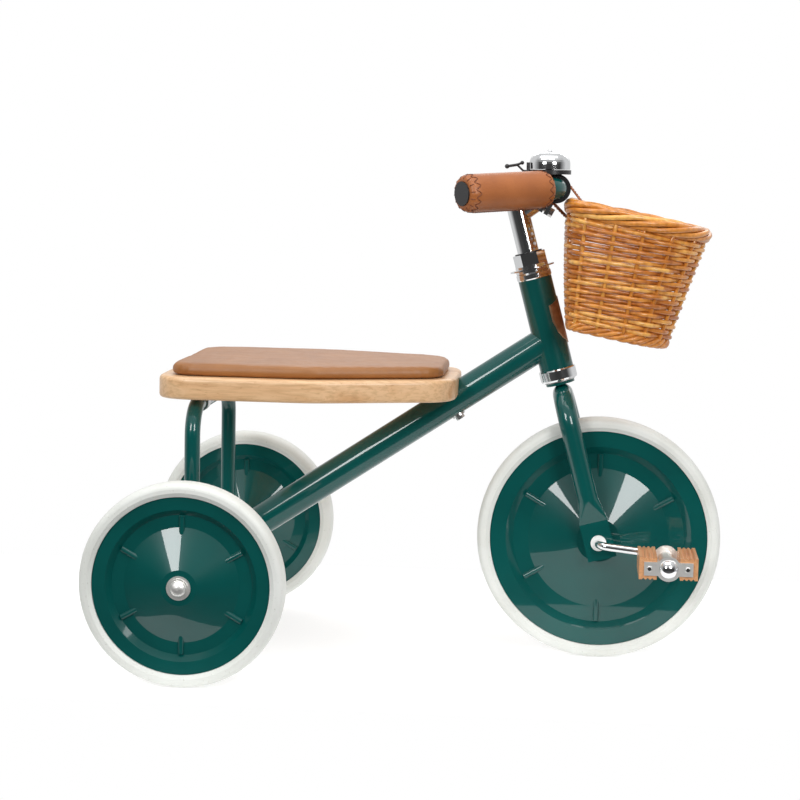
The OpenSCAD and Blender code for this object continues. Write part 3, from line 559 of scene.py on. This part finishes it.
def make_grip(side, name, node):
    place = grip_place(side)
    seam = down_angle(place)
    around = 112
    ends = np.array([0.2, 0.35, 0.6, 1.0, 1.6, 2.4, 3.4, 4.6, 6.0, 7.6, 9.4, 11.4, 14.0])
    heights = np.concatenate([ends, np.arange(15.5, GRIP_L - 15, 1.5), GRIP_L - ends[::-1]])
    verts = [(grip_radius(z, a, seam) * math.cos(a), grip_radius(z, a, seam) * math.sin(a), z)
             for z in heights for a in np.arange(around) * 2 * math.pi / around]
    for z in (heights[-1], heights[0]):
        verts += [(GRIP_BORE_R * math.cos(a), GRIP_BORE_R * math.sin(a), z)
                  for a in np.arange(around) * 2 * math.pi / around]
    rings = len(heights) + 2
    flip = side < 0
    faces = []
    for i in range(rings):
        j = (i + 1) % rings
        for k in range(around):
            m = (k + 1) % around
            face = (i * around + k, i * around + m, j * around + m, j * around + k)
            faces.append(face[::-1] if flip else face)
    verts = np.array(verts) * MM
    verts = verts @ place[:3, :3].T + place[:3, 3]
    grip = add_mesh(name, verts, faces, GRIP_LEATHER)
    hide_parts(node)
    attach(grip, "stem")

    def on_skin(z, angle, lift):
        r = grip_radius(z, angle, seam) + lift
        return (r * math.cos(angle), r * math.sin(angle), z)

    lacing = Strands()
    for end in (0, 1):
        def zs(z):
            return GRIP_L - z if end else z

        for j in range(PLEATS * 2):
            a0 = seam + j * math.pi / PLEATS
            a1 = a0 + math.pi / PLEATS
            z0, z1 = (5.0, 12.0) if j % 2 == 0 else (12.0, 5.0)
            path = [on_skin(zs(z0 + (z1 - z0) * t), a0 + (a1 - a0) * t, 0.12)
                    for t in np.linspace(0.06, 0.94, 6)]
            lacing.add(path, [0.3, 0.55, 0.62, 0.62, 0.55, 0.3], (0.3, 0.2, 1), sides=6, tone=0.4)
        for j in range(PLEATS):
            a0 = seam + (2 * j + 0.5) * math.pi / PLEATS
            path = [on_skin(zs(z), a0, 0.15) for z in (0.5, 1.2, 2.4, 4.2)]
            across = (math.cos(a0 + 1.57), math.sin(a0 + 1.57), 0)
            lacing.add(path, [0.35, 0.6, 0.6, 0.35], across, sides=6)
    for z in np.arange(17, GRIP_L - 16, STITCH_GAP):
        path = [on_skin(z + 2.4 * t, seam + t * 0.17, 0.1) for t in np.linspace(-1, 1, 5)]
        lacing.add(path, [0.3, 0.6, 0.6, 0.6, 0.3], (0, 0, 1), sides=6)
        path = [on_skin(z - 2.4 * t, seam + t * 0.17, 0.25) for t in np.linspace(-1, 1, 5)]
        lacing.add(path, [0.3, 0.55, 0.55, 0.55, 0.3], (0, 0, 1), sides=6)
    threads = lacing.build(name + "_lacing", THREAD, place)
    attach(threads, "stem")


make_grip(-1, "grip_leather_right", "grip_right")
make_grip(1, "grip_leather_left", "grip_left")


# ---------- Basket ----------

BASKET_X, BASKET_Z, BASKET_TILT = FRONT_X - 45.5, 398.0, 11.0
HALF, FLOOR_L, BACK_R, NOSE_R = 80.0, 120.0, 14.0, 60.0
HEIGHT, FLARE, TOP_SHIFT, RIM_R, RIM_OUT = 148.0, 25.0, -6.0, 9.5, 3.0
STAKES, STAKE_R, STAKE_DEPTH = 18, 2.4, 3.0
FIRST_ROW, ROW_GAP, CANE_R = 14.5, 5.3, 2.55
# How far inside the wall's face the woven canes run, and how far they swing round a stake
WALL_DEPTH, CANE_SWING = 3.2, 2.9
ROPE_SAMPLES = 320
# Each rope: number of strands and turns, half size across and up, radius of one strand
RIM_STRANDS, RIM_TURNS, RIM_ACROSS, RIM_UP, RIM_STRAND_R, RIM_CORE_R = 6, 3, 6.2, 6.6, 3.1, 4.4
FOOT_STRANDS, FOOT_TURNS, FOOT_ACROSS, FOOT_UP, FOOT_STRAND_R = 4, 9, 2.6, 3.9, 2.7
FOOT_DEPTH, FOOT_Z = 2.8, 6.6
FLOOR_Z, RIB_GAP, RIB_R, FLOOR_GAP, FLOOR_CANE_R, FLOOR_SWING = 4.2, 20, 2.0, 5.4, 2.5, 2.1
in_basket = shift(BASKET_X * MM, 0, BASKET_Z * MM) @ rot("Y", BASKET_TILT)


def basket_pieces(out):
    """The D outline: ("line", start, end) or ("arc", centre, radius, start angle) of a quarter."""
    r0, r1 = BACK_R + out, NOSE_R + out
    y0, x1 = HALF - BACK_R, FLOOR_L - NOSE_R
    quarter = math.pi / 2
    return [
        ("line", (-out, 0), (-out, -y0)),
        ("arc", (BACK_R, -y0), r0, math.pi),
        ("line", (BACK_R, -HALF - out), (x1, -HALF - out)),
        ("arc", (x1, -(HALF - NOSE_R)), r1, -quarter),
        ("line", (FLOOR_L + out, -(HALF - NOSE_R)), (FLOOR_L + out, HALF - NOSE_R)),
        ("arc", (x1, HALF - NOSE_R), r1, 0.0),
        ("line", (x1, HALF + out), (BACK_R, HALF + out)),
        ("arc", (BACK_R, y0), r0, quarter),
        ("line", (-out, y0), (-out, 0)),
    ]


def piece_length(piece):
    if piece[0] == "line":
        return math.dist(piece[1], piece[2])
    return piece[2] * math.pi / 2


BASE_LENGTHS = np.array([piece_length(p) for p in basket_pieces(12.0)])
BASE_ENDS = np.concatenate([[0], np.cumsum(BASE_LENGTHS)])
PERIMETER = BASE_ENDS[-1]


def on_outline(u, out, dx=0.0):
    """Point and outward direction at share u of the way round, for an outline grown by `out`."""
    at = (u % 1.0) * PERIMETER
    i = min(int(np.searchsorted(BASE_ENDS, at, side="right")) - 1, 8)
    f = (at - BASE_ENDS[i]) / BASE_LENGTHS[i]
    piece = basket_pieces(out)[i]
    if piece[0] == "line":
        a, b = np.array(piece[1]), np.array(piece[2])
        d = (b - a) / np.linalg.norm(b - a)
        return a + (b - a) * f + (dx, 0), np.array([d[1], -d[0]])
    angle = piece[3] + f * math.pi / 2
    out_dir = np.array([math.cos(angle), math.sin(angle)])
    return np.array(piece[1]) + piece[2] * out_dir + (dx, 0), out_dir


def wall(z):
    """Outward growth and forward shift of the basket's wall at a height."""
    share = z / (HEIGHT - 8)
    return FLARE * share, TOP_SHIFT * share


def make_row(canes, i, rows):
    """One cane that runs in front of every other stake, round the whole basket."""
    samples = STAKES * 8
    z = FIRST_ROW + i * ROW_GAP
    grow, dx = wall(z)
    wave = [rng.uniform(-0.35, 0.35) for _ in range(12)]
    tones = np.repeat([rng.uniform(0.25, 0.95) for _ in range(6)], samples // 6 + 1)[:samples]
    tones = np.clip(tones + np.array([rng.uniform(-0.1, 0.1) for _ in range(samples)]), 0, 1)
    path, ref = [], []
    for k in range(samples):
        u = k / samples
        swing = math.cos(math.pi * (STAKES * u + i))
        p, n = on_outline(u, grow - WALL_DEPTH + CANE_SWING * swing, dx)
        lift = wave[int(u * 12) % 12] * math.sin(math.pi * ((u * 12) % 1.0))
        level = 0.08 * (p[0] - FLOOR_L / 2) * math.sin(math.pi * i / (rows - 1))
        path.append((p[0], p[1], z + lift + level))
        ref.append((n[0], n[1], 0))
    canes.add(path, CANE_R, np.array(ref), closed=True, tone=tones, flat=0.9)


def make_stake(canes, u):
    path = []
    for z in np.linspace(3, HEIGHT - 12, 12):
        grow, dx = wall(z)
        p, n = on_outline(u, grow - STAKE_DEPTH, dx)
        path.append((p[0], p[1], z))
    ref = (0, 1, 0) if abs(n[0]) > 0.7 else (1, 0, 0)
    canes.add(path, STAKE_R, ref, tone=rng.uniform(0.4, 0.9))


def make_weave():
    canes = Strands()
    rows = int((HEIGHT - 2 * RIM_R - 13) / ROW_GAP) + 1
    for i in range(rows):
        make_row(canes, i, rows)
    for s in range(STAKES):
        make_stake(canes, s / STAKES)
    weave = canes.build("basket_weave", M["wicker"], in_basket)
    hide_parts("basket")
    return weave


def twisted(rope, start, turns, place, sides, radius, tone):
    """One strand of a rope; `place` gives its point and outward direction from share and turn."""
    path, ref = [], []
    for k in range(ROPE_SAMPLES):
        u = k / ROPE_SAMPLES
        p, n = place(u, 2 * math.pi * (turns * u + start))
        path.append(p)
        ref.append((n[0], n[1], 0))
    rope.add(path, radius, np.array(ref), closed=True, sides=sides, tone=tone)


def make_rim():
    rope = Strands()
    grow = FLARE + RIM_OUT - RIM_R
    middle = HEIGHT - RIM_R
    for s in range(RIM_STRANDS):
        tone = rng.uniform(0.45, 0.95)

        def place(u, turn):
            wobble = 1 + 0.10 * math.sin(2 * math.pi * 7 * u + s * 1.7)
            p, n = on_outline(u, grow + RIM_ACROSS * wobble * math.cos(turn), TOP_SHIFT)
            return (p[0], p[1], middle + RIM_UP * wobble * math.sin(turn)), n

        twisted(rope, s / RIM_STRANDS, RIM_TURNS, place, 10, RIM_STRAND_R, tone)

    # The core cane gets tone 0.1, darker than every other cane: painted shade in the gaps between
    # the rim's twisted strands.
    def core(u, _):
        p, n = on_outline(u, grow, TOP_SHIFT)
        return (p[0], p[1], middle), n

    twisted(rope, 0, 0, core, 10, RIM_CORE_R, 0.1)
    return rope.build("basket_rim", M["wicker"], in_basket)


def make_foot():
    rope = Strands()

    def place(u, turn):
        p, n = on_outline(u, FOOT_ACROSS * math.cos(turn) - FOOT_DEPTH)
        return (p[0], p[1], FOOT_Z + FOOT_UP * math.sin(turn)), n

    for s in range(FOOT_STRANDS):
        tone = rng.uniform(0.4, 0.9)
        twisted(rope, s / FOOT_STRANDS, FOOT_TURNS, place, 8, FOOT_STRAND_R, tone)
    return rope.build("basket_foot", M["wicker"], in_basket)


def make_floor():
    """Flat woven floor: ribs from back to front, canes across them."""
    canes = Strands()
    nose_x = FLOOR_L - NOSE_R
    for y in range(-60, 61, RIB_GAP):
        reach = FLOOR_L - 5
        if abs(y) > 20:
            reach = nose_x - 4 + math.sqrt(NOSE_R ** 2 - (abs(y) - 20) ** 2)
        path = [(x, y, FLOOR_Z) for x in np.linspace(4, reach, 12)]
        canes.add(path, RIB_R, (0, 1, 0), tone=rng.uniform(0.4, 0.8))
    for i, x in enumerate(np.arange(7, FLOOR_L - 6, FLOOR_GAP)):
        over = max(x - nose_x, 0)
        width = HALF - 5
        if over > 0:
            width = HALF - NOSE_R - 5 + math.sqrt(NOSE_R ** 2 - over ** 2)
        path = [(x, y, FLOOR_Z + FLOOR_SWING * math.cos(math.pi * (y / RIB_GAP + i)))
                for y in np.linspace(-width, width, 48)]
        canes.add(path, FLOOR_CANE_R, (1, 0, 0), tone=rng.uniform(0.3, 0.95))
    return canes.build("basket_floor", M["wicker"], in_basket)


for piece in [make_weave(), make_rim(), make_foot(), make_floor()]:
    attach(piece, "basket")


# ---------- Straps ----------

RIM_BACK = TOP_SHIFT - FLARE - RIM_OUT + RIM_R
LEAN = math.radians(BASKET_TILT)
RIM_X = BASKET_X + RIM_BACK * math.cos(LEAN) + (HEIGHT - RIM_R) * math.sin(LEAN)
RIM_Z = BASKET_Z - RIM_BACK * math.sin(LEAN) + (HEIGHT - RIM_R) * math.cos(LEAN)
STRAP_W, STRAP_T = 14.0, 2.2
STRAP_BAR_GAP, STRAP_RIM_GAP = 1.5, 3.2
TO_STITCH, STITCH_STEP = 2.0, 3.7


def strap_path():
    """Loop round the bar and the rim in the x-z plane, with its outward directions."""
    r0, r1 = BAR_R + STRAP_BAR_GAP, RIM_R + STRAP_RIM_GAP
    dx, dz = RIM_X - BAR_X, RIM_Z - BAR_Z
    gap = math.hypot(dx, dz)
    line = math.atan2(dz, dx)
    lean = math.acos((r0 - r1) / gap)
    points, outs = [], []

    def arc(cx, cz, r, start, end, steps):
        for a in np.linspace(start, end, steps):
            outs.append((math.cos(a), 0, math.sin(a)))
            points.append((cx + r * math.cos(a), 0, cz + r * math.sin(a)))

    def run(steps):
        """Straight stretch from the last point to the next arc's start, filled in later."""
        points.append(None)
        outs.append(steps)

    arc(BAR_X, BAR_Z, r0, line + lean, line + 2 * math.pi - lean, 40)
    run(14)
    arc(RIM_X, RIM_Z, r1, line - lean, line + lean, 30)
    run(14)
    full, dirs = [], []
    count = len(points)
    for i in range(count):
        if points[i] is not None:
            full.append(points[i])
            dirs.append(outs[i])
            continue
        a, b = np.array(points[i - 1]), np.array(points[(i + 1) % count])
        for t in np.linspace(0, 1, outs[i] + 2)[1:-1]:
            full.append(tuple(a + (b - a) * t))
            dirs.append(outs[i - 1])
    return np.array(full), np.array(dirs)


def make_strap(y, name, node):
    mid, out = strap_path()
    half = STRAP_W / 2
    t = STRAP_T / 2
    section = [(-half, -t * 0.5), (-half + 0.5, -t), (0, -t), (half - 0.5, -t), (half, -t * 0.5),
               (half, t * 0.5), (half - 0.6, t), (half - 2.0, t * 0.92), (0, t * 1.05),
               (-half + 2.0, t * 0.92), (-half + 0.6, t), (-half, t * 0.5)]
    n, sides = len(mid), len(section)
    verts = [(p + o * v + np.array([0, y + w, 0])) for p, o in zip(mid, out) for w, v in section]
    faces = []
    for i in range(n):
        j = (i + 1) % n
        for k in range(sides):
            m = (k + 1) % sides
            faces.append((i * sides + m, i * sides + k, j * sides + k, j * sides + m))
    strap = add_mesh(name, np.array(verts) * MM, faces, STRAP_LEATHER)
    strap.data.set_sharp_from_angle(angle=math.radians(60))
    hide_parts(node)
    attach(strap, "basket")

    loop, normal = np.vstack([mid, mid[:1]]), np.vstack([out, out[:1]])
    along = np.concatenate([[0], np.cumsum(np.linalg.norm(np.diff(loop, axis=0), axis=1))])
    stitches = Strands()
    for start in np.arange(0, along[-1] - 3, STITCH_STEP):
        for side in (-1, 1):
            path = []
            for s, lift in ((0, -0.1), (0.5, 0.3), (1.2, 0.38), (1.9, 0.3), (2.4, -0.1)):
                p = np.array([np.interp(start + s, along, loop[:, k]) for k in range(3)])
                o = np.array([np.interp(start + s, along, normal[:, k]) for k in range(3)])
                sideways = np.array([0, y + side * (half - TO_STITCH), 0])
                path.append(p + o * (t + lift - 0.15) + sideways)
            stitches.add(path, [0.2, 0.36, 0.4, 0.36, 0.2], (0, 1, 0), sides=6)
    thread = stitches.build(name + "_stitches", THREAD)
    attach(thread, "basket")


make_strap(-38, "strap_leather_right", "basket_strap_right")
make_strap(38, "strap_leather_left", "basket_strap_left")


# ---------- Floor, light and camera ----------

def make_stage():
    """Small floor that glows a little, so that it fades into the white backdrop."""
    bm = bmesh.new()
    bmesh.ops.create_grid(bm, x_segments=8, y_segments=8, size=1.0)
    place = Matrix.Translation((0, 0.1, 0)) @ Matrix.Diagonal((0.7, 0.4, 1, 1))
    bmesh.ops.transform(bm, matrix=place, verts=bm.verts)
    mesh = bpy.data.meshes.new("studio_floor")
    bm.to_mesh(mesh)
    bm.free()
    floor = bpy.data.objects.new("studio_floor", mesh)
    bpy.context.scene.collection.objects.link(floor)
    s = Surface("studio_floor", Roughness=0.8, Specular_IOR_Level=0.1)
    s.shader.inputs["Base Color"].default_value = (0.6, 0.6, 0.6, 1)
    s.shader.inputs["Emission Color"].default_value = (1, 1, 1, 1)
    s.shader.inputs["Emission Strength"].default_value = 0.55
    mesh.materials.append(s.mat)


def make_world():
    """Light from above and behind; the camera itself sees plain white."""
    world = bpy.data.worlds.new("studio")
    bpy.context.scene.world = world
    world.use_nodes = True
    tree = world.node_tree
    tree.nodes.clear()
    place = tree.nodes.new("ShaderNodeTexCoord")
    split = tree.nodes.new("ShaderNodeSeparateXYZ")
    ramp = tree.nodes.new("ShaderNodeValToRGB")
    stops = [(0.0, 0.2), (0.45, 0.04), (0.56, 0.05), (0.68, 0.2), (0.8, 0.6), (1.0, 0.9)]
    while len(ramp.color_ramp.elements) < len(stops):
        ramp.color_ramp.elements.new(0.5)
    for element, (at, value) in zip(ramp.color_ramp.elements, stops):
        element.position = at
        element.color = (value, value, value, 1)
    half = tree.nodes.new("ShaderNodeMapRange")
    half.inputs["From Min"].default_value = -1
    path = tree.nodes.new("ShaderNodeLightPath")
    lit = tree.nodes.new("ShaderNodeBackground")
    plain = tree.nodes.new("ShaderNodeBackground")
    plain.inputs["Color"].default_value = (1, 1, 1, 1)
    plain.inputs["Strength"].default_value = 1.0
    mix = tree.nodes.new("ShaderNodeMixShader")
    out = tree.nodes.new("ShaderNodeOutputWorld")
    link = tree.links.new
    link(place.outputs["Generated"], split.inputs[0])
    link(split.outputs["Z"], half.inputs["Value"])
    link(half.outputs["Result"], ramp.inputs["Fac"])
    backdrop = tree.nodes.new("ShaderNodeMapRange")
    backdrop.inputs["From Min"].default_value = -0.55
    backdrop.inputs["From Max"].default_value = 0.2
    backdrop.inputs["To Max"].default_value = 0.75
    brighter = tree.nodes.new("ShaderNodeMath")
    brighter.operation = "MAXIMUM"
    link(split.outputs["Y"], backdrop.inputs["Value"])
    link(ramp.outputs["Color"], brighter.inputs[0])
    link(backdrop.outputs["Result"], brighter.inputs[1])
    link(brighter.outputs[0], lit.inputs["Color"])
    link(path.outputs["Is Camera Ray"], mix.inputs["Fac"])
    link(lit.outputs[0], mix.inputs[1])
    link(plain.outputs[0], mix.inputs[2])
    link(mix.outputs[0], out.inputs["Surface"])


def area(name, at, target, size, watts):
    light = bpy.data.lights.new(name, "AREA")
    light.shape = "RECTANGLE"
    light.size, light.size_y = size
    light.energy = watts
    obj = bpy.data.objects.new(name, light)
    bpy.context.scene.collection.objects.link(obj)
    obj.location = at
    obj.rotation_euler = (Vector(target) - Vector(at)).to_track_quat("-Z", "Y").to_euler()


def make_camera():
    """The photograph's camera, solved from its straight edges and ellipses."""
    yaw, pitch, roll = -0.0812825, 0.1095558, 0.0205387
    x, y, z = 0.173116, -2.442298, 0.572532
    forward = Vector((math.sin(yaw) * math.cos(pitch), math.cos(yaw) * math.cos(pitch),
                      -math.sin(pitch)))
    right = Vector((math.cos(yaw), -math.sin(yaw), 0))
    up = right.cross(forward)
    side = right * math.cos(roll) + up * math.sin(roll)
    top = up * math.cos(roll) - right * math.sin(roll)
    data = bpy.data.cameras.new("camera")
    data.sensor_width = 36
    data.lens = 92.426
    camera = bpy.data.objects.new("camera", data)
    bpy.context.scene.collection.objects.link(camera)
    camera.matrix_world = Matrix(((side.x, top.x, -forward.x, x),
                                  (side.y, top.y, -forward.y, y),
                                  (side.z, top.z, -forward.z, z),
                                  (0, 0, 0, 1)))
    bpy.context.scene.camera = camera


make_stage()
make_world()
area("left_box", (-0.9, -1.85, 1.1), (0, 0, 0.3), (0.55, 0.7), 16)
area("right_box", (0.98, -1.66, 1.05), (0, 0, 0.3), (0.55, 0.7), 16)
area("top_box", (-0.1, -0.5, 2.3), (0, 0, 0.3), (2.2, 1.3), 20)
area("back_box", (0.3, 1.9, 1.5), (0, 0, 0.3), (2.0, 0.8), 8)
make_camera()
bpy.context.scene.view_settings.view_transform = "Standard"
